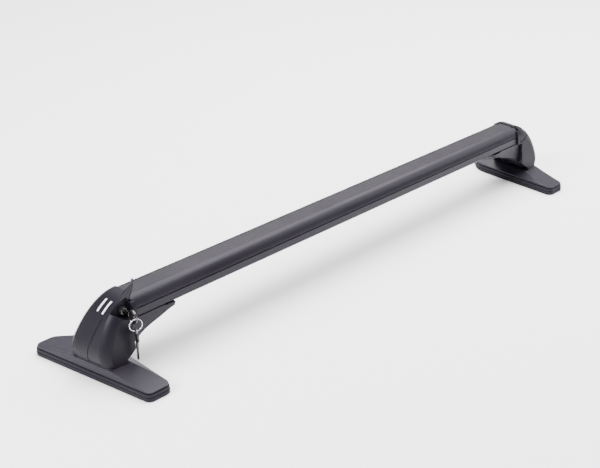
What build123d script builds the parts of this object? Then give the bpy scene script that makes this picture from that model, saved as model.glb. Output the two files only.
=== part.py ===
import math
import os

from build123d import *

os.makedirs("parts", exist_ok=True)

# Crossbar extrusion (all sizes in millimetres)
bar_length = 888.0
bar_width = 57.0
bar_height = 31.0
bar_top = 112.0
bar_wall = 2.2
flat_width = 28.6
side_groove_drop = 17.0
strip_thickness = 2.2
top_mouth = 12.0
top_cavity = 20.0
top_cavity_height = 8.0
nut_channel = 17.0
nut_channel_height = 6.5

# Rubber pad and moulded base
base_length = 217.0
front_width = 41.0
back_width = 85.0
pad_height = 13.0
pad_band_height = 6.2
pad_groove = 1.7
base_rise = 10.5
base_end_rise = 0.9
plateau_length = 76.0
inner_slope = 17.5
fixing_hole = 9.0

# Tower cover
tower_wall = 2.6
tower_width = 61.2
tower_lip = 1.5
tower_slant = 11.0
side_draft = 7.5
groove_width = 1.4
groove_depth = 0.8
stripe_width = 3.0
stripe_length = 17.0

# Support arm
arm_reach = 70.5
arm_width = 56.6
arm_core_width = 51.0
arm_plate = 6.0
arm_web = 4.2

# Lock, flap and keys
barrel_diameter = 12.5
plug_diameter = 9.0
flap_open = 136.0
flap_pin_diameter = 2.2
key_thickness = 2.0
key_bow = 20.0
key_hole = 6.0
key_neck = 10.0
key_blade = 18.5
cam_reach = 6.8
cam_half = 4.0
ring_diameter = 18.4
ring_wire = 1.6
ring_turn = 20.0

# Fasteners
bolt_diameter = 6.0
bolt_hole = 6.5
screw_diameter = 5.0

bar_end = bar_length / 2
bar_bottom = bar_top - bar_height
groove_z = bar_top - side_groove_drop
half_bar = bar_width / 2
half_flat = flat_width / 2
plateau = pad_height + base_rise
half_base = base_length / 2
gap_x = bar_end - 3.5
core_x = bar_end - 10.0
tower_top = bar_top + tower_lip
tower_height = tower_top - plateau
half_tower = tower_width / 2
draft = math.tan(math.radians(side_draft))
slant = math.tan(math.radians(tower_slant))
fixing_x = bar_end + 35.0
lock_x = bar_end + 12.5
lock_z = bar_top - 17.0
pocket_floor = -half_flat - 2.7
lock_face = pocket_floor - 4.6
pivot_x = bar_end + 3.5
pivot_z = bar_top - 2.5


def xz_prism(face, near, far):
    """A sketch drawn in x and z, filled from y = near to y = far."""
    solid = extrude(Plane.XZ * face, amount=far - near, dir=(0, 1, 0))
    return Pos(0, near, 0) * solid


def y_cylinder(x, z, near, far, diameter):
    """A round bar lying along y."""
    body = Cylinder(diameter / 2, far - near)
    return Pos(x, (near + far) / 2, z) * Rot(90, 0, 0) * body


def z_cylinder(x, y, low, high, diameter):
    """An upright round bar."""
    return Pos(x, y, (low + high) / 2) * Cylinder(diameter / 2, high - low)


def block(x0, x1, y0, y1, z0, z1):
    """A square block between six limits."""
    centre = Pos((x0 + x1) / 2, (y0 + y1) / 2, (z0 + z1) / 2)
    return centre * Box(abs(x1 - x0), abs(y1 - y0), abs(z1 - z0))


def mirrored_face(edges):
    """A closed half outline in y and z, doubled about y = 0."""
    half = make_face(edges)
    return half + mirror(half, about=Plane.YZ)


def bowed(start, end, bow):
    """An arc between two points that bulges to its left by a share of its chord."""
    across = end[0] - start[0]
    up = end[1] - start[1]
    middle = ((start[0] + end[0]) / 2 - bow * up, (start[1] + end[1]) / 2 + bow * across)
    return ThreePointArc(start, middle, end)


def bar_outline():
    """Outer section of the bar: flat top, round shoulders, side grooves, lower lips."""
    shoulder = bowed((half_flat, bar_top), (half_bar - 0.5, groove_z + 1.2), 0.13)
    lower = Polyline(
        (half_bar - 0.5, groove_z + 1.2),
        (half_bar - 2.4, groove_z + 0.7),
        (half_bar - 2.4, groove_z - 0.9),
        (half_bar - 0.9, groove_z - 1.5),
        (half_bar, bar_bottom + 2.5),
        (half_bar - 2.0, bar_bottom),
        (0, bar_bottom),
        (0, bar_top),
        (half_flat, bar_top),
    )
    return mirrored_face([shoulder, lower])


def rectangle(y0, y1, z0, z1):
    """A rectangle in the bar's section."""
    return Pos((y0 + y1) / 2, (z0 + z1) / 2) * Rectangle(y1 - y0, z1 - z0)


def bar_section():
    """Hollow section with a top slot for the strip and an inner channel for the nuts."""
    seat = bar_top - strip_thickness
    roof = seat - bar_wall
    floor = roof - top_cavity_height
    nut_low = bar_bottom + bar_wall
    nut_high = nut_low + nut_channel_height
    face = bar_outline()
    face -= rectangle(-half_flat + 0.5, half_flat - 0.5, seat, bar_top + 1)
    face -= rectangle(-top_mouth / 2, top_mouth / 2, roof - 1, bar_top)
    face -= rectangle(-top_cavity / 2, top_cavity / 2, floor, roof)
    face -= rectangle(-nut_channel / 2, nut_channel / 2, nut_low, nut_high)
    inner = top_cavity / 2 + bar_wall
    lower_inner = nut_channel / 2 + bar_wall
    edge = half_bar - 2.4 - bar_wall
    chamber = make_face(
        Polyline(
            (inner, roof),
            (half_flat + 0.4, roof),
            (edge - 3.2, groove_z + 5.4),
            (edge, groove_z + 1.0),
            (edge, nut_low + 1.5),
            (edge - 1.5, nut_low),
            (lower_inner, nut_low),
            (lower_inner, nut_high + bar_wall),
            (inner, nut_high + bar_wall),
            close=True,
        )
    )
    return face - chamber - mirror(chamber, about=Plane.YZ)


def along_bar(face, reach):
    """A bar section drawn out equally to both ends."""
    return Pos(-reach, 0, 0) * extrude(Plane.YZ * face, amount=2 * reach, dir=(1, 0, 0))


def crossbar():
    """The aluminium extrusion, drilled from below for the bar bolts."""
    bar = along_bar(bar_section(), bar_end)
    for side in (-1, 1):
        for x in bolt_places:
            bar -= z_cylinder(side * x, 0, bar_bottom - 1, bar_bottom + bar_wall + 1, bolt_hole)
    return bar


def top_strip():
    """Rubber infill strip: a wide cap with a barbed stem in the slot."""
    seat = bar_top - strip_thickness
    roof = seat - bar_wall
    stem = top_mouth / 2 - 0.4
    edges = Polyline(
        (0, bar_top + 0.2),
        (half_flat - 2.2, bar_top + 0.2),
        (half_flat - 0.9, bar_top - 0.5),
        (half_flat - 0.9, seat),
        (stem, seat),
        (stem, roof - 0.2),
        (stem + 1.2, roof - 0.2),
        (stem - 0.6, roof - 2.4),
        (0, roof - 2.4),
        close=True,
    )
    return along_bar(mirrored_face([edges]), bar_end)


def base_plan(inset):
    """Footprint of a foot: straight inner side, spreading outer side, cut back corner."""
    inner = bar_end + 1.5
    cut = 0.56 * back_width
    corners = (
        ((inner, -half_base), 11.0),
        ((inner + front_width, -half_base), 11.0),
        ((inner + back_width, half_base), 12.0),
        ((inner + cut, half_base), 16.0),
        ((inner, half_base - cut), 40.0),
    )
    outline = make_face(Polyline(*[place for place, radius in corners], close=True))
    for place, radius in corners:
        outline = fillet(outline.vertices().sort_by_distance(place)[0], radius)
    if inset > 0:
        outline = offset(outline, amount=-inset)
    return outline


def slab(inset, low, high):
    """A flat slice of the footprint between two heights."""
    return Pos(0, 0, low) * extrude(base_plan(inset), amount=high - low)


def rounded(solid, low_radius, high_radius):
    """A slice with its bottom and top rims rounded."""
    if low_radius > 0:
        solid = fillet(solid.faces().sort_by(Axis.Z)[0].edges(), low_radius)
    return fillet(solid.faces().sort_by(Axis.Z)[-1].edges(), high_radius)


def pad():
    """Rubber pad: a ground band, a bead above it and a seat under the base."""
    bead_low = pad_band_height + 0.7
    bead_high = pad_height - pad_groove
    body = rounded(slab(0, 0, pad_band_height), 1.4, 1.2)
    body += slab(1.6, pad_band_height - 1, bead_low + 1)
    body += rounded(slab(0.6, bead_low, bead_high), 0.5, 1.0)
    body += slab(6.5, bead_high - 1, pad_height)
    return body - z_cylinder(fixing_x, 0, -1, pad_height + 1, fixing_hole)


def base():
    """Crowned base: a flat seat that falls to both ends and to the inner side."""
    plan = Pos(0, 0, pad_height) * base_plan(1.8)
    body = extrude(plan, amount=base_rise + 3, taper=9)
    flat = plateau_length / 2
    low = pad_height + base_end_rise
    crown = mirrored_face(
        [
            Line((0, pad_height - 1), (0, plateau)),
            Line((0, plateau), (flat, plateau)),
            Spline(
                (flat, plateau),
                (half_base, low),
                tangents=((1, -0.2), (1, -0.1)),
            ),
            Polyline((half_base, low), (half_base, pad_height - 1), (0, pad_height - 1)),
        ]
    )
    body &= Pos(bar_end - 50, 0, 0) * extrude(Plane.YZ * crown, amount=250, dir=(1, 0, 0))
    inner = bar_end + 1.5
    slope = make_face(
        Polyline(
            (inner, pad_height - 1),
            (inner, pad_height + base_end_rise),
            (inner + inner_slope, plateau),
            (inner + 2 * back_width, plateau),
            (inner + 2 * back_width, pad_height - 1),
            close=True,
        )
    )
    body &= xz_prism(slope, -base_length, base_length)
    body -= z_cylinder(fixing_x, 0, 0, plateau + 1, fixing_hole)
    for side in (-1, 1):
        body -= z_cylinder(screw_x, side * screw_y, pad_height + 1.5, plateau + 1, screw_diameter)
    return body


screw_x = bar_end + 36.0
screw_y = arm_core_width / 2 - 8.0

tower_angles = (0, 12, 24, 36, 48, 60, 72, 81, 90)
tower_reach = (1.0, 1.0, 0.971, 0.934, 0.900, 0.878, 0.868, 0.838, 0.775)


def tower_slice(angle, reach, inset, start):
    """One radial section of the tower: band, two shoulders and drafted sides."""
    sine = math.sin(math.radians(angle))
    cosine = math.cos(math.radians(angle))
    lean = slant * sine**3
    radius = reach * tower_height - inset
    drop = 18.5 - 8.0 * max(sine, 0)
    spread = half_flat + 7.0 * max(sine, 0)

    def half_width(along):
        return half_tower - inset + (groove_z - plateau - along * cosine) * draft

    front_top = radius - spread * lean
    back_top = radius + spread * lean
    front_low = radius - drop - half_tower * lean
    back_low = radius - drop + half_tower * lean
    band = spread - 0.4 * inset
    root = half_width(start)
    front = half_width(front_low)
    back = half_width(back_low)
    edges = [
        Line((-root, start), (-front, front_low)),
        bowed((-front, front_low), (-band, front_top), 0.15),
        Line((-band, front_top), (band, back_top)),
        bowed((band, back_top), (back, back_low), 0.15),
        Line((back, back_low), (root, start)),
        Line((root, start), (-root, start)),
    ]
    plane = Plane(origin=(core_x, 0, plateau), x_dir=(0, 1, 0), z_dir=(cosine, 0, -sine))
    return plane * make_face(edges)


def tower(inset, spread=0.0, start=8.0):
    """The tower's full form, like the bar's section bent down to the base."""
    angles = list(tower_angles)
    reaches = list(tower_reach)
    if spread > 0:
        angles = [-spread] + angles + [90 + spread]
        reaches = [1.0] + reaches + [0.75]
    slices = [tower_slice(a, r, inset, start) for a, r in zip(angles, reaches)]
    return loft(slices)


def underside():
    """The hollow curve that runs from the arm's tip down to the base."""
    tip = bar_end - arm_reach
    fall = bar_bottom - plateau
    return Spline(
        (tip, bar_bottom - 7.4),
        (tip + 25, bar_bottom - 0.25 * fall),
        (tip + 46, bar_bottom - 0.36 * fall),
        (tip + 61, bar_bottom - 0.48 * fall),
        (tip + 75, bar_bottom - 0.66 * fall),
        (tip + 85, bar_bottom - 0.79 * fall),
        (tip + 96, plateau + 6.0),
        tangents=((1, -0.1), (1, -0.35)),
    )


def arm_profile():
    """Side outline of the saddle and its foot, with a hollow underside."""
    tip = bar_end - arm_reach
    heel = bar_end + 45.5
    rim = Polyline(
        (tip + 96, plateau + 6.0),
        (tip + 98, plateau),
        (heel, plateau),
        (heel, plateau + 9.0),
        (bar_end + 34.0, plateau + 15.0),
        (bar_end + 18.0, plateau + 32.0),
        (bar_end + 3.5, bar_bottom - 9.0),
        (bar_end + 3.5, bar_bottom),
        (tip + 18, bar_bottom),
        (tip + 16, bar_bottom - 1.2),
        (tip - 1.5, bar_bottom - 1.8),
        (tip, bar_bottom - 7.4),
    )
    return make_face([underside(), rim])


def arm_form():
    """Outer form of the saddle and its foot, narrower inside the tower."""
    form = xz_prism(arm_profile(), -arm_width / 2, arm_width / 2)
    core = arm_core_width / 2
    for side in (-1, 1):
        form -= block(bar_end + 6.5, bar_end + 90, side * core, side * 60, plateau - 1, bar_top)
    return form


def saddle_zone():
    """The space of the saddle: all in front of the foot, and a plate that laps over it."""
    plate_low = bar_bottom - arm_plate
    front = block(bar_end - arm_reach - 5, foot_front, -60, 60, plateau - 5, bar_top)
    return front + block(foot_front - 1, bar_end + 5, -60, 60, plate_low, bar_top)


def arm():
    """Cast saddle under the bar: a plate on two side webs, closed at its tip."""
    web = arm_width / 2 - arm_web
    plate_low = bar_bottom - arm_plate
    saddle = arm_form() & saddle_zone()
    saddle -= block(bar_end - arm_reach + 6, foot_front + 1, -web, web, plateau - 5, plate_low)
    for x in bolt_places:
        saddle -= z_cylinder(x, 0, plate_low - 1, bar_bottom + 1, bolt_hole)
    return saddle


def arm_foot():
    """Cast foot inside the tower that carries the saddle, with the lock's catch."""
    foot = arm_form() - saddle_zone()
    foot -= z_cylinder(fixing_x, 0, plateau - 1, bar_bottom, fixing_hole)
    foot -= z_cylinder(fixing_x, 0, plateau + 9.0, bar_bottom, 2.1 * fixing_hole)
    for side in (-1, 1):
        foot -= z_cylinder(screw_x, side * screw_y, plateau - 1, bar_bottom, screw_diameter + 0.4)
        foot -= z_cylinder(
            screw_x, side * screw_y, plateau + 5.0, bar_bottom, 2 * screw_diameter
        )
    catch_x = lock_x + cam_half + 0.7
    catch = block(catch_x, catch_x + 4.0, 3.0, 12.0, plateau + 20.0, lock_z - cam_reach - 0.4)
    return foot + catch


foot_front = bar_end - 1.5
bolt_places = (bar_end - 46.0, bar_end - 16.0)


def bar_bolts():
    """Two socket bolts that pull the bar down on the saddle."""
    bolts = Part()
    low = bar_bottom - arm_plate
    for x in bolt_places:
        head = z_cylinder(x, 0, low - bolt_diameter, low, 1.65 * bolt_diameter)
        socket = extrude(
            Pos(x, 0, low - bolt_diameter) * RegularPolygon(0.5 * bolt_diameter, 6),
            amount=0.5 * bolt_diameter,
        )
        shank = z_cylinder(x, 0, low, bar_bottom + bar_wall + nut_channel_height - 0.4, bolt_diameter)
        bolts += head - socket + shank
    return bolts


def bar_nuts():
    """Two square nuts in the bar's inner channel."""
    nuts = Part()
    low = bar_bottom + bar_wall
    half = nut_channel / 2 - 0.3
    for x in bolt_places:
        nut = block(x - half, x + half, -half, half, low, low + 0.75 * nut_channel_height)
        nuts += nut - z_cylinder(x, 0, low - 1, bar_top, bolt_diameter)
    return nuts


def foot_screws():
    """Two screws that hold the arm's foot on the base."""
    screws = Part()
    for side in (-1, 1):
        y = side * screw_y
        seat = plateau + 5.0
        head = z_cylinder(screw_x, y, seat, seat + 3.2, 1.8 * screw_diameter)
        slot = extrude(
            Pos(screw_x, y, seat + 1.6) * RegularPolygon(0.32 * screw_diameter, 6),
            amount=4.0,
        )
        shank = z_cylinder(screw_x, y, pad_height + 1.7, seat, screw_diameter)
        screws += head - slot + shank
    return screws


def pocket_outline(inset):
    """Outline of the lock pocket, seen from the front."""
    left = gap_x - 3.0
    rim = pivot_x - 0.4
    eye_low = pivot_z - 3.4
    outline = make_face(
        Polyline(
            (left, bar_top + 12),
            (left, eye_low),
            (rim, eye_low),
            (rim, bar_bottom + 3.0),
            (left + 17.5, bar_bottom + 3.5),
            (left + 29.5, bar_bottom + 9.0),
            (left + 42.5, bar_bottom + 18.5),
            (left + 35.0, bar_top + 12),
            close=True,
        )
    )
    if inset != 0:
        outline = offset(outline, amount=-inset, kind=Kind.INTERSECTION)
    return outline


def stripe_cutters():
    """Two short bars standing across the tower's outer band."""
    cutters = Part()
    start = bar_end + 20.0
    for y in (-5.5, 5.5):
        cutters += block(
            start,
            start + stripe_length,
            y - stripe_width / 2,
            y + stripe_width / 2,
            plateau + 40,
            bar_top + 20,
        )
    return cutters


def band_grooves():
    """Two thin blades that score the tower's outer face from shoulder to base."""
    blades = Part()
    for y, top, turn in ((19.5, bar_top - 15.0, -6.5), (-10.5, bar_top - 22.0, -9.0)):
        blade = Box(80, groove_width, 120)
        blades += Pos(bar_end + 50, y, top) * Rot(-turn, 0, 0) * Pos(0, 0, -60) * blade
    return blades


def bar_socket():
    """Clearance for the bar's end inside the tower's rim."""
    side = half_bar + 0.5
    high = bar_top + 0.5
    low = bar_bottom - 0.5
    outline = mirrored_face(
        [
            Line((0, high), (half_flat, high)),
            bowed((half_flat, high), (side, groove_z), 0.13),
            Polyline((side, groove_z), (side, low), (0, low), (0, high)),
        ]
    )
    start = gap_x - 5
    return Pos(start, 0, 0) * extrude(
        Plane.YZ * outline, amount=bar_end + 0.4 - start, dir=(1, 0, 0)
    )


def cover():
    """Moulded tower shell with lock pocket, stripe seats and scored face."""
    outer = tower(0)
    shell = outer - tower(tower_wall, spread=6.0, start=5.0)
    shell -= block(core_x - 40, gap_x, -80, 80, 0, bar_top + 30)
    shell -= block(core_x - 40, bar_end + 8.0, -80, 80, 0, bar_bottom)
    shell -= bar_socket()
    walls = xz_prism(pocket_outline(-2.2), -60, pocket_floor + 2.2)
    walls &= block(bar_end + 0.4, bar_end + 90, -60, 0, plateau, bar_top + 30)
    shell += walls & outer
    shell -= xz_prism(pocket_outline(0), -60, pocket_floor)
    skin = outer - tower(groove_depth, spread=3.0, start=6.0)
    shell -= skin & band_grooves()
    inlay = outer - tower(0.5, spread=3.0, start=6.0)
    shell -= inlay & stripe_cutters()
    tip = bar_end - arm_reach
    below = make_face(
        [
            underside(),
            Polyline(
                (tip + 96, plateau + 6.0),
                (tip + 98, plateau - 10),
                (tip, plateau - 10),
                (tip, bar_bottom - 7.4),
            ),
        ]
    )
    shell -= xz_prism(below, -90, 90)
    shell -= y_cylinder(lock_x, lock_z, -60, pocket_floor + 5, barrel_diameter + 0.2)
    shell -= y_cylinder(pivot_x, pivot_z, pocket_floor - 5, pocket_floor + 5, flap_pin_diameter + 0.04)
    return shell


def stripes():
    """Two plain stripes let into the tower's outer band."""
    raised = tower(-0.15) - tower(0.5, spread=3.0, start=6.0)
    return raised & stripe_cutters()


def lock_body():
    """Lock barrel with a rim that seats on the pocket floor."""
    back = 5.2
    body = y_cylinder(lock_x, lock_z, lock_face, back, barrel_diameter)
    body += y_cylinder(lock_x, lock_z, pocket_floor - 1.4, pocket_floor, barrel_diameter + 1.8)
    body = chamfer(body.edges().group_by(Axis.Y)[0], 0.8)
    return body - y_cylinder(lock_x, lock_z, lock_face - 1, back + 1, plug_diameter + 0.06)


def lock_plug():
    """Turning plug with a keyway and a square tail for the cam."""
    body = y_cylinder(lock_x, lock_z, lock_face - 0.3, 6.0, plug_diameter)
    body += block(lock_x - 3, lock_x + 3, 6.0, 8.4, lock_z - 3, lock_z + 3)
    slot = key_thickness / 2 + 0.2
    height = 0.35 * plug_diameter
    body -= block(
        lock_x - slot, lock_x + slot, lock_face - 1, lock_face + key_blade + 1.2,
        lock_z - height, lock_z + height,
    )
    return body - y_cylinder(lock_x, lock_z, 3.0, 9.0, 3.3)


def lock_cam():
    """Flat cam that swings down behind the arm's catch."""
    end = lock_x - cam_reach
    plate = block(end, lock_x, 6.1, 8.4, lock_z - cam_half, lock_z + cam_half)
    plate += y_cylinder(lock_x, lock_z, 6.1, 8.4, barrel_diameter - 1.5)
    plate += y_cylinder(end, lock_z, 6.1, 8.4, 2 * cam_half)
    return plate - block(lock_x - 3, lock_x + 3, 5, 10, lock_z - 3, lock_z + 3)


def cam_screw():
    """Screw that holds the cam on the plug."""
    head = y_cylinder(lock_x, lock_z, 8.4, 10.4, 8.6)
    slot = block(lock_x - 5, lock_x + 5, 9.6, 11, lock_z - 0.5, lock_z + 0.5)
    return head - slot + y_cylinder(lock_x, lock_z, 3.2, 8.4, 3.3)


def flap():
    """Pointed flap, the missing piece of the tower's shoulder, with its pin eye."""
    skin = tower(0.35) - tower(tower_wall, spread=4.0, start=6.0)
    front = pocket_floor - 0.5
    piece = skin & xz_prism(pocket_outline(1.2), -60, front)
    piece &= block(pivot_x + 0.6, bar_end + 90, -60, 0, plateau, bar_top + 30)
    piece -= block(bar_end, pivot_x + 7.0, -60, 0, pivot_z + 1.6, bar_top + 30)
    piece += y_cylinder(pivot_x, pivot_z, front - 3.2, front, flap_pin_diameter + 1.6)
    return piece - y_cylinder(pivot_x, pivot_z, front - 2.4, front + 1, flap_pin_diameter + 0.1)


def flap_pin():
    """Pivot pin of the flap."""
    return y_cylinder(pivot_x, pivot_z, pocket_floor - 2.7, pocket_floor + 5, flap_pin_diameter)


def key_blank():
    """Flat key in its own plane: hole at the origin, blade along -y of the sketch."""
    bow = key_bow / 2
    away = bow - key_hole / 2 - 1.5
    half_neck = 0.2 * key_bow
    blade_half = 0.32 * plug_diameter
    neck_low = -away - bow - key_neck
    outline = Pos(0, -away) * Circle(bow)
    outline += Pos(0, (neck_low - away) / 2) * Rectangle(2 * half_neck, neck_low * -1 - away)
    blade = make_face(
        Polyline(
            (-blade_half, neck_low + 1),
            (blade_half, neck_low + 1),
            (blade_half, neck_low - key_blade + 2.5),
            (0.4, neck_low - key_blade),
            (-0.4, neck_low - key_blade),
            (-blade_half, neck_low - key_blade + 2.5),
            close=True,
        )
    )
    for index in range(5):
        depth = (1.3, 0.7, 1.7, 1.0, 1.5)[index]
        y = neck_low - key_blade * (0.2 + 0.15 * index)
        notch = make_face(
            Polyline(
                (blade_half - depth, y),
                (blade_half + 0.5, y + depth + 0.9),
                (blade_half + 0.5, y - depth - 0.9),
                close=True,
            )
        )
        blade -= notch
    outline += blade
    outline -= Circle(key_hole / 2)
    plate = extrude(outline, amount=key_thickness / 2, both=True)
    rim = Pos(0, -away) * (Circle(bow - 1.4) - Circle(bow - 2.2))
    rim -= Circle(key_hole / 2 + 1.0)
    for side in (-1, 1):
        cut = Pos(0, 0, side * key_thickness / 2) * extrude(rim, amount=0.25, both=True)
        plate -= cut
    return plate


def key_reach():
    """Distance from the key's hole to the shoulder of its blade."""
    return key_bow - key_hole / 2 - 1.5 + key_neck


hole_y = lock_face - 0.3 - key_reach()
ring_drop = math.sqrt((key_hole / 2) ** 2 - (0.76 * ring_wire + 0.37 * key_thickness / 2) ** 2)
ring_top = lock_z - ring_drop + ring_wire / 2
ring_centre = ring_top - ring_diameter / 2
spare_hole = ring_top - ring_diameter - key_hole / 2 + ring_wire / 2 + 0.05


def key():
    """Key in the lock, its bow upright."""
    plane = Plane(origin=(-lock_x, hole_y, lock_z), x_dir=(0, 0, 1), z_dir=(1, 0, 0))
    return plane * key_blank()


def key_ring():
    """Split ring through the bows of both keys."""
    turn = Rot(0, 0, -ring_turn)
    hoop = Torus(ring_diameter / 2, ring_wire / 2)
    return Pos(-lock_x, hole_y, ring_centre) * turn * Rot(90, 0, 0) * hoop


def spare_key():
    """Second key, hanging from the ring."""
    flat = math.radians(ring_turn)
    plane = Plane(
        origin=(-lock_x, hole_y, spare_hole),
        x_dir=(math.sin(flat), math.cos(flat), 0),
        z_dir=(math.cos(flat), -math.sin(flat), 0),
    )
    return plane * key_blank()


def lifted(solid):
    """The flap of the left foot, swung open about its pin."""
    axis = Axis((-pivot_x, 0, pivot_z), (0, 1, 0))
    return solid.rotate(axis, flap_open)


foot_makers = {
    "pad": pad,
    "base": base,
    "arm": arm,
    "arm_foot": arm_foot,
    "bar_bolts": bar_bolts,
    "bar_nuts": bar_nuts,
    "foot_screws": foot_screws,
    "cover": cover,
    "stripes": stripes,
    "lock_body": lock_body,
    "lock_plug": lock_plug,
    "lock_cam": lock_cam,
    "cam_screw": cam_screw,
    "flap": flap,
    "flap_pin": flap_pin,
}

export_step(crossbar(), "parts/crossbar.step")
export_step(top_strip(), "parts/top_strip.step")
for name, maker in foot_makers.items():
    right = maker()
    left = mirror(right, about=Plane.YZ)
    if name == "flap":
        left = lifted(left)
    export_step(right, f"parts/right_{name}.step")
    export_step(left, f"parts/left_{name}.step")
export_step(key(), "parts/key.step")
export_step(key_ring(), "parts/key_ring.step")
export_step(spare_key(), "parts/spare_key.step")
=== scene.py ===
import math

import bmesh
import bpy
import numpy as np
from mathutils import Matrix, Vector


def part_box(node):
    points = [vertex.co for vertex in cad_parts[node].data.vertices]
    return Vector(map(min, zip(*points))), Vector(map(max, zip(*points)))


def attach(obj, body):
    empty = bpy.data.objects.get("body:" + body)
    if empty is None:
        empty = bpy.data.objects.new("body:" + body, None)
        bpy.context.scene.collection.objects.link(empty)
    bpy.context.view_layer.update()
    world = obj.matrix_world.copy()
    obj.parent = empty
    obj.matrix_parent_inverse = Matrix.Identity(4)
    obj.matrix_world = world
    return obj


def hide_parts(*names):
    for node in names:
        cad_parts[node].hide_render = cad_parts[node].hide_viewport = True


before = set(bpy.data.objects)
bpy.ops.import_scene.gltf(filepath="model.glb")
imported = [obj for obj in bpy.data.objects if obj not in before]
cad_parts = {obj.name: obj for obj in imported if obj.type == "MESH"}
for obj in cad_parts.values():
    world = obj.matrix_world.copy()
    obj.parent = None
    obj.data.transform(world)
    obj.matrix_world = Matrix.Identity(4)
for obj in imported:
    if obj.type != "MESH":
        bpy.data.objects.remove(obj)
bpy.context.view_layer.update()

# Rubber pads under both feet, each moulded in one piece with a ground band, a bead and a
# groove under the base. The rubber is dull and mottled, and painted paler along its edges, partly as
# wear and partly as a painted highlight.
mm = 0.001
pad_colour = (0.0112, 0.0092, 0.0142)
grain_detail = 3.0
cloud_scale = 14.0
cloud_detail = 4.0
grain_share = 0.4
noise_low = 0.3
noise_high = 0.7
edge_radius = 0.6 * mm
edge_samples = 4
# How sharply edges are painted paler in the base colour: partly wear, partly a painted highlight.
wear_and_sheen_starts = 0.985
wear_and_sheen_full = 0.82
wear_and_sheen_lift = 0.003
wear_and_sheen_share = 2.2
relief_depth = 0.2 * mm


def paler(colour, share):
    """A colour with each channel raised by a share, or lowered by a negative one, within white."""
    return (*[min(1.0, channel * (1 + share)) for channel in colour], 1)


def surface(name, colour, rough, metal=0.0, grain=900.0, bump=0.05, cloud=0.12,
            stretch=(1, 1, 1), scuff=0.08, gloss=0.22, edge_wear_and_sheen=0.35):
    """Colour that drifts between two tones with a slow cloud and a fine grain. The grain also
    bumps the normal, and the cloud makes the gloss uneven. Stretch draws the grain out along
    an axis. Sharp edges are shaded as if rounded, and painted paler where that turns the normal:
    partly edge wear, partly a painted highlight along the edges."""
    paint = bpy.data.materials.new(name)
    paint.use_nodes = True
    tree = paint.node_tree
    join = tree.links.new
    shader = tree.nodes["Principled BSDF"]
    shader.inputs["Metallic"].default_value = metal
    shader.inputs["Specular IOR Level"].default_value = gloss

    place = tree.nodes.new("ShaderNodeTexCoord")
    drawn = tree.nodes.new("ShaderNodeMapping")
    drawn.inputs["Scale"].default_value = stretch
    join(place.outputs["Object"], drawn.inputs["Vector"])
    fine = tree.nodes.new("ShaderNodeTexNoise")
    fine.inputs["Scale"].default_value = grain
    fine.inputs["Detail"].default_value = grain_detail
    join(drawn.outputs["Vector"], fine.inputs["Vector"])
    slow = tree.nodes.new("ShaderNodeTexNoise")
    slow.inputs["Scale"].default_value = cloud_scale
    slow.inputs["Detail"].default_value = cloud_detail
    join(place.outputs["Object"], slow.inputs["Vector"])

    blend = tree.nodes.new("ShaderNodeMix")
    blend.inputs["Factor"].default_value = grain_share
    join(slow.outputs["Fac"], blend.inputs["A"])
    join(fine.outputs["Fac"], blend.inputs["B"])
    tone = tree.nodes.new("ShaderNodeValToRGB")
    dark, light = tone.color_ramp.elements
    dark.position = noise_low
    dark.color = paler(colour, -cloud)
    light.position = noise_high
    light.color = paler(colour, cloud)
    join(blend.outputs["Result"], tone.inputs["Fac"])

    # Edges painted paler in the base colour, found where the rounded normal turns: partly rubbed
    # wear, partly a painted highlight.
    edge = tree.nodes.new("ShaderNodeBevel")
    edge.samples = edge_samples
    edge.inputs["Radius"].default_value = edge_radius
    facing = tree.nodes.new("ShaderNodeNewGeometry")
    turned = tree.nodes.new("ShaderNodeVectorMath")
    turned.operation = "DOT_PRODUCT"
    join(edge.outputs["Normal"], turned.inputs[0])
    join(facing.outputs["Normal"], turned.inputs[1])
    wear_and_sheen_mask = tree.nodes.new("ShaderNodeMapRange")
    wear_and_sheen_mask.inputs["From Min"].default_value = wear_and_sheen_starts
    wear_and_sheen_mask.inputs["From Max"].default_value = wear_and_sheen_full
    wear_and_sheen_mask.inputs["To Max"].default_value = edge_wear_and_sheen
    join(turned.outputs["Value"], wear_and_sheen_mask.inputs["Value"])
    wear_and_sheen_mix = tree.nodes.new("ShaderNodeMix")
    wear_and_sheen_mix.data_type = "RGBA"
    plain_tone, wear_and_sheen_tone = [socket for socket in wear_and_sheen_mix.inputs if socket.type == "RGBA"]
    wear_and_sheen_tone.default_value = paler([channel + wear_and_sheen_lift for channel in colour], wear_and_sheen_share)
    join(wear_and_sheen_mask.outputs["Result"], wear_and_sheen_mix.inputs["Factor"])
    join(tone.outputs["Color"], plain_tone)
    (mixed_tone,) = [socket for socket in wear_and_sheen_mix.outputs if socket.type == "RGBA"]
    join(mixed_tone, shader.inputs["Base Color"])

    polish = tree.nodes.new("ShaderNodeMapRange")
    polish.inputs["From Min"].default_value = noise_low
    polish.inputs["From Max"].default_value = noise_high
    polish.inputs["To Min"].default_value = rough - scuff
    polish.inputs["To Max"].default_value = rough + scuff
    join(slow.outputs["Fac"], polish.inputs["Value"])
    join(polish.outputs["Result"], shader.inputs["Roughness"])
    relief = tree.nodes.new("ShaderNodeBump")
    relief.inputs["Strength"].default_value = bump
    relief.inputs["Distance"].default_value = relief_depth
    join(fine.outputs["Fac"], relief.inputs["Height"])
    join(edge.outputs["Normal"], relief.inputs["Normal"])
    join(relief.outputs["Normal"], shader.inputs["Normal"])
    return paint


def dress(paint, *names):
    """Gives each named CAD node one finish."""
    for name in names:
        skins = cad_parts[name].data.materials
        skins.clear()
        skins.append(paint)


pad_rubber = surface(
    "pad_rubber", pad_colour, rough=0.62, grain=1700.0, bump=0.25, cloud=0.22, gloss=0.15
)
dress(pad_rubber, "left_pad", "right_pad")

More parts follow.
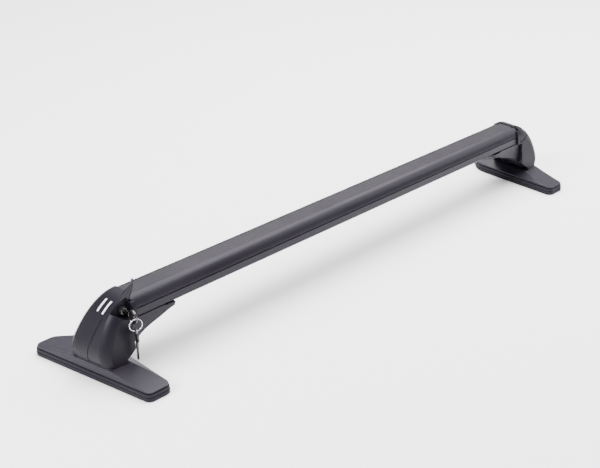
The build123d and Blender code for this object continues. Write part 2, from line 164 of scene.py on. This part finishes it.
# Moulded bases of dark glass-filled nylon with a fine spark-eroded grain. Round each tower's
# foot a small hollow fillet, moulded with the base, runs along the cover's wall and fades out
# at the inner side.
base_colour = (0.0114, 0.0091, 0.0153)
sides = {"left": -1.0, "right": 1.0}
side_lean = math.tan(math.radians(7.5))
fillet_out = 1.5 * mm
fillet_up = 2.8 * mm
fillet_sunk = 1.2 * mm
fillet_inside = 0.5 * mm
fillet_fade = 7.0 * mm
fillet_least = 0.04
fillet_columns = 9
wall_half = 39.9
wall_start = 473.0
front_side_end = 486.0
front_shoulder = ((487.3, -wall_half), (499.6, -21.3))
outer_face = ((500.6, -16.0), (506.9, 16.0))
back_shoulder = ((507.9, 21.3), (499.2, wall_half))
back_side_start = 497.8
shoulder_swell = 0.15
base_nylon = surface("base_nylon", base_colour, rough=0.42, grain=2300.0, bump=0.30)
dress(base_nylon, "left_base", "right_base")


def loop_skin(name, points, paint, sharp=35.0):
    """A closed skin over a grid of points, rows by columns by 3. Each row is a closed loop, quads
    join row to row, and the first and last loops are capped. Edges above an angle stay sharp."""
    rows, columns = points.shape[:2]
    index = np.arange(rows * columns).reshape(rows, columns)
    wrapped = np.hstack([index, index[:, :1]])
    quads = np.stack(
        [wrapped[:-1, :-1], wrapped[:-1, 1:], wrapped[1:, 1:], wrapped[1:, :-1]], axis=-1
    )
    faces = quads.reshape(-1, 4).tolist() + [index[0].tolist(), index[-1].tolist()]
    mesh = bpy.data.meshes.new(name)
    mesh.from_pydata(points.reshape(-1, 3).tolist(), [], faces)
    skin = bmesh.new()
    skin.from_mesh(mesh)
    bmesh.ops.recalc_face_normals(skin, faces=skin.faces)
    skin.to_mesh(mesh)
    skin.free()
    mesh.shade_smooth()
    mesh.set_sharp_from_angle(angle=math.radians(sharp))
    mesh.materials.append(paint)
    piece = bpy.data.objects.new(name, mesh)
    bpy.context.scene.collection.objects.link(piece)
    return piece


def swelling(begin, end, count):
    """Points from begin to end on a parabola that swells to the right by a share of its chord."""
    t = np.linspace(0, 1, count)[:, None]
    chord = np.subtract(end, begin)
    right = np.array([chord[1], -chord[0]])
    return np.array(begin) + t * chord + 4 * shoulder_swell * t * (1 - t) * right


# Plan of the cover's wall where it meets the base, in millimetres, from the front's inner edge
# round to the back's. It is straight at the sides, swells at the shoulders and slants across
# the outside.
wall_line = mm * np.vstack([
    np.linspace((wall_start, -wall_half), (front_side_end, -wall_half), 10),
    swelling(*front_shoulder, 14),
    np.linspace(*outer_face, 12),
    swelling(*back_shoulder, 14),
    np.linspace((back_side_start, wall_half), (wall_start, wall_half), 14),
])
ahead = np.gradient(wall_line, axis=0)
ahead /= np.linalg.norm(ahead, axis=1)[:, None]
outward = np.stack([ahead[:, 1], -ahead[:, 0]], axis=-1)
run = np.cumsum(np.linalg.norm(np.diff(wall_line, axis=0, prepend=wall_line[:1]), axis=1))
fade = np.clip(np.minimum(run, run[-1] - run) / fillet_fade, fillet_least, 1.0)

# Section of the fillet: a hollow quarter curve from the leaning wall out to the base, then down
# into the base, back under the wall and up inside it.
bend = np.linspace(0, np.pi / 2, fillet_columns)
wall_back = -side_lean * fillet_up
curve_out = wall_back + (fillet_out - wall_back) * (1 - np.cos(bend))
curve_up = fillet_up * (1 - np.sin(bend))
back_out = wall_back - fillet_inside
hollow_out = np.concatenate([curve_out, [fillet_out, back_out, back_out]])
hollow_up = np.concatenate([curve_up, [0.0, 0.0, fillet_up]])
hollow_low = np.concatenate([np.zeros(len(bend)), [-fillet_sunk, -fillet_sunk, 0.0]])
base_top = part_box("right_base")[1].z
fillet_points = np.zeros((len(wall_line), len(hollow_out), 3))
fillet_points[:, :, :2] = (
    wall_line[:, None] + (fade[:, None] * hollow_out)[:, :, None] * outward[:, None]
)
fillet_points[:, :, 2] = base_top + fade[:, None] * hollow_up + hollow_low
for side, turn in sides.items():
    foot_fillet = loop_skin(f"{side}_foot_fillet", fillet_points * (turn, 1.0, 1.0), base_nylon)
    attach(foot_fillet, "root")

# Cast saddles under the bar's ends, and the cast feet that carry them inside the towers. They
# are shot-blasted and powder coated, so the coat is slightly pebbled.
arm_colour = (0.0114, 0.0095, 0.0148)
arm_coating = surface("arm_coating", arm_colour, rough=0.44, metal=0.2, grain=1000.0, bump=0.30)
dress(arm_coating, "left_arm", "right_arm", "left_arm_foot", "right_arm_foot")

# The crossbar, an aluminium extrusion under a satin charcoal coat, bolted down on the saddles.
# Die lines run its whole length, so the grain is drawn out along the bar.
bar_colour = (0.0128, 0.0106, 0.0160)
bar_coating = surface(
    "bar_coating", bar_colour, rough=0.34, metal=0.25, grain=700.0, bump=0.12, cloud=0.08,
    stretch=(0.02, 1, 1), scuff=0.05, gloss=0.2,
)
dress(bar_coating, "crossbar")

# The rubber strip pressed into the bar's top slot, extruded with low ribs so that a load
# doesn't slip. The ribs are one wavy section drawn from cover to cover.
strip_colour = (0.0160, 0.0140, 0.0188)
rib_count = 7
rib_height = 0.35 * mm
rib_sunk = 0.1 * mm
rib_samples = 12
strip_edge = 2.0 * mm
cover_lap = 4.5 * mm
strip_rubber = surface(
    "strip_rubber", strip_colour, rough=0.58, grain=1400.0, bump=0.15, stretch=(0.03, 1, 1)
)
dress(strip_rubber, "top_strip")
strip_low, strip_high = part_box("top_strip")
rib_half = strip_high.y - strip_edge
across = np.linspace(-rib_half, rib_half, rib_count * rib_samples + 1)
wave = 0.5 - 0.5 * np.cos(np.pi * rib_count * (across + rib_half) / rib_half)
rib_top = np.stack([across, strip_high.z + rib_height * wave], axis=-1)
rib_under = np.stack([across[::-1], np.full(len(across), strip_high.z - rib_sunk)], axis=-1)
rib_profile = np.vstack([rib_top, rib_under])
rib_points = np.zeros((2, len(rib_profile), 3))
rib_points[:, :, 0] = [[strip_low.x + cover_lap], [strip_high.x - cover_lap]]
rib_points[:, :, 1:] = rib_profile
strip_ribs = loop_skin("strip_ribs", rib_points, strip_rubber)
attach(strip_ribs, "root")

# Zinc-plated steel: the socket bolts and square nuts that hold the bar on the saddles, the
# screws that hold the cast feet on the bases, the lock cams with their screws, and the flaps'
# pivot pins.
zinc_colour = (0.42, 0.42, 0.43)
zinc_plating = surface("zinc_plating", zinc_colour, rough=0.34, metal=1.0, grain=1300.0, bump=0.12)
for side in sides:
    dress(zinc_plating, f"{side}_bar_bolts", f"{side}_bar_nuts", f"{side}_foot_screws")
    dress(zinc_plating, f"{side}_lock_cam", f"{side}_cam_screw", f"{side}_flap_pin")

# Tower covers and their lock flaps, moulded in grained nylon like the bases, but coloured about
# half as bright as the bases as painted shade for their shaded sides. The covers fit
# over the cast feet, and a thin inner lip at the front and the back of each closes it there,
# widening downwards as the cover does.
# About half the bases' colour: painted shade for the covers' shaded front and sides.
cover_colour_with_painted_shade = (0.0060, 0.0045, 0.0084)
lip_near = 452.15 * mm
lip_thick = 1.4 * mm
lip_inner = 25.8 * mm
cover_half = 29.4 * mm
cover_half_level = 95.0 * mm
lip_low = 41.0 * mm
lip_high = 80.6 * mm
lip_rows = 14
cover_nylon = surface(
    "cover_nylon", cover_colour_with_painted_shade, rough=0.44, grain=2300.0, bump=0.30, gloss=0.15
)
dress(cover_nylon, "left_cover", "right_cover", "left_flap", "right_flap")
lip_z = np.linspace(lip_low, lip_high, lip_rows)
lip_outer = cover_half + (cover_half_level - lip_z) * side_lean
lip_points = np.zeros((lip_rows, 4, 3))
lip_points[:, :, 0] = lip_near + lip_thick * np.array([0, 0, 1, 1])
lip_points[:, :, 1] = lip_inner + (lip_outer - lip_inner)[:, None] * np.array([0, 1, 1, 0])
lip_points[:, :, 2] = lip_z[:, None]
for side, turn in sides.items():
    for face, over in (("front", -1.0), ("back", 1.0)):
        cover_lip = loop_skin(f"{side}_{face}_lip", lip_points * (turn, over, 1.0), cover_nylon)
        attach(cover_lip, "root")

# Two plain white stripes let into each cover's outer face. They are a smooth plastic inlay,
# glossier than the grained cover round them.
stripe_colour = (0.86, 0.86, 0.87)
stripe_inlay = surface("stripe_inlay", stripe_colour, rough=0.30, grain=1500.0, bump=0.02, cloud=0.03)
dress(stripe_inlay, "left_stripes", "right_stripes")

# Lock barrels of black-plated zinc, seated in the covers' pockets, and the nickel-plated plugs
# that turn in them. The plugs' edges are painted bright, partly as rubbing by the keys and partly as
# a painted glint.
barrel_colour = (0.020, 0.019, 0.021)
plug_colour = (0.13, 0.125, 0.12)
barrel_plating = surface(
    "barrel_plating", barrel_colour, rough=0.30, metal=0.7, grain=1200.0, bump=0.10
)
plug_plating = surface("plug_plating", plug_colour, rough=0.28, metal=1.0, grain=1500.0, bump=0.10)
dress(barrel_plating, "left_lock_body", "right_lock_body")
dress(plug_plating, "left_lock_plug", "right_lock_plug")

# Two flat keys of brass under a dark nickel plating, stamped and milled. One stands in the left
# lock, and the spare one hangs from it by the ring.
key_colour = (0.085, 0.080, 0.082)
key_plating = surface(
    "key_plating", key_colour, rough=0.26, metal=1.0, grain=1500.0, bump=0.10, cloud=0.2,
    stretch=(1, 1, 0.1),
)
dress(key_plating, "key", "spare_key")

# The split ring, nearly two turns of polished spring wire side by side, with tapered ends.
# Halfway along, the wire steps over from one turn to the other.
ring_colour = (0.62, 0.62, 0.63)
ring_slant = math.radians(20.0)
wire_diameter = 1.6 * mm
turn_offset = 0.25 * wire_diameter
wire_deep = 1.15 * turn_offset
wire_wide = 0.96 * turn_offset
turns = 1.93
first_angle = 0.35 * np.pi
ring_rows = 160
wire_columns = 12
step_sharpness = 24.0
end_taper = 60.0
wire_tip = 0.02
ring_low, ring_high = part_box("key_ring")
ring_centre = (np.array(ring_low) + np.array(ring_high)) / 2
ring_radius = (ring_high.z - ring_low.z - wire_diameter) / 2
ring_flat = np.array([math.cos(ring_slant), -math.sin(ring_slant), 0.0])
ring_across = np.array([math.sin(ring_slant), math.cos(ring_slant), 0.0])
ring_up = np.array([0.0, 0.0, 1.0])
share = np.linspace(0, 1, ring_rows)
angle = first_angle + 2 * np.pi * turns * share
radial = np.cos(angle)[:, None] * ring_flat + np.sin(angle)[:, None] * ring_up
step_over = turn_offset * np.tanh((share - 0.5) * step_sharpness)
wire_line = ring_centre + ring_radius * radial + step_over[:, None] * ring_across
taper = np.clip(np.minimum(share, 1 - share) * end_taper, wire_tip, 1.0)
around = np.linspace(0, 2 * np.pi, wire_columns, endpoint=False)
wire_out = wire_deep * taper[:, None] * np.cos(around)
wire_over = wire_wide * taper[:, None] * np.sin(around)
ring_points = (
    wire_line[:, None]
    + wire_out[:, :, None] * radial[:, None]
    + wire_over[:, :, None] * ring_across
)
ring_wire = surface("ring_wire", ring_colour, rough=0.14, metal=1.0, grain=1600.0, bump=0.04)
dress(ring_wire, "key_ring")
split_ring = loop_skin("split_ring", ring_points, ring_wire, sharp=60.0)
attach(split_ring, "key_ring")
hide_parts("key_ring")

# The studio: a plain pale floor that both pads stand on, an even room, and three large soft
# lamps over the bar, beyond the near foot and beyond the far one.
scene = bpy.context.scene
floor_half = 30.0
floor_colour = (0.94, 0.94, 0.945, 1)
floor_rough = 0.9
floor_gloss = 0.1
room_colour = (0.96, 0.96, 1.0, 1)
room_strength = 0.8
lamps = (
    ("overhead", (0.85, 0.35, 2.6), (0.35, 0.0, 0.05), 3.2, 350.0),
    ("near_end", (-2.4, 0.3, 1.7), (-0.45, 0.0, 0.08), 1.2, 115.0),
    ("far_end", (2.2, -0.9, 1.5), (0.3, 0.0, 0.05), 1.6, 30.0),
)
floor_mesh = bpy.data.meshes.new("floor")
floor_corners = floor_half * np.array([(-1, -1, 0), (1, -1, 0), (1, 1, 0), (-1, 1, 0)])
floor_mesh.from_pydata(floor_corners.tolist(), [], [(0, 1, 2, 3)])
floor_paint = bpy.data.materials.new("floor_paint")
floor_paint.use_nodes = True
floor_shader = floor_paint.node_tree.nodes["Principled BSDF"]
floor_shader.inputs["Base Color"].default_value = floor_colour
floor_shader.inputs["Roughness"].default_value = floor_rough
floor_shader.inputs["Specular IOR Level"].default_value = floor_gloss
floor_mesh.materials.append(floor_paint)
floor = bpy.data.objects.new("floor", floor_mesh)
scene.collection.objects.link(floor)

room = bpy.data.worlds.new("room")
room.use_nodes = True
room_light = room.node_tree.nodes["Background"]
room_light.inputs["Color"].default_value = room_colour
room_light.inputs["Strength"].default_value = room_strength
scene.world = room
for lamp_name, lamp_place, lamp_aim, lamp_size, lamp_power in lamps:
    light = bpy.data.lights.new(lamp_name, "AREA")
    light.shape = "SQUARE"
    light.size = lamp_size
    light.energy = lamp_power
    lamp = bpy.data.objects.new(lamp_name, light)
    lamp.location = lamp_place
    lamp_way = Vector(lamp_aim) - Vector(lamp_place)
    lamp.rotation_euler = lamp_way.to_track_quat("-Z", "Y").to_euler()
    scene.collection.objects.link(lamp)

# The photograph's camera: a long lens that looks down on the left foot, with the bar running
# away to the upper right. Its place was fitted to the bar's edges and to both feet.
camera_place = (-1.2202, -1.1391, 0.8942)
camera_way = (0.625, 0.634, -0.455)
camera_lens = 68.1
camera_sensor = 36.0
camera_data = bpy.data.cameras.new("photo_camera")
camera_data.lens = camera_lens
camera_data.sensor_fit = "HORIZONTAL"
camera_data.sensor_width = camera_sensor
camera = bpy.data.objects.new("photo_camera", camera_data)
camera.location = camera_place
camera.rotation_euler = Vector(camera_way).to_track_quat("-Z", "Y").to_euler()
scene.collection.objects.link(camera)
scene.camera = camera
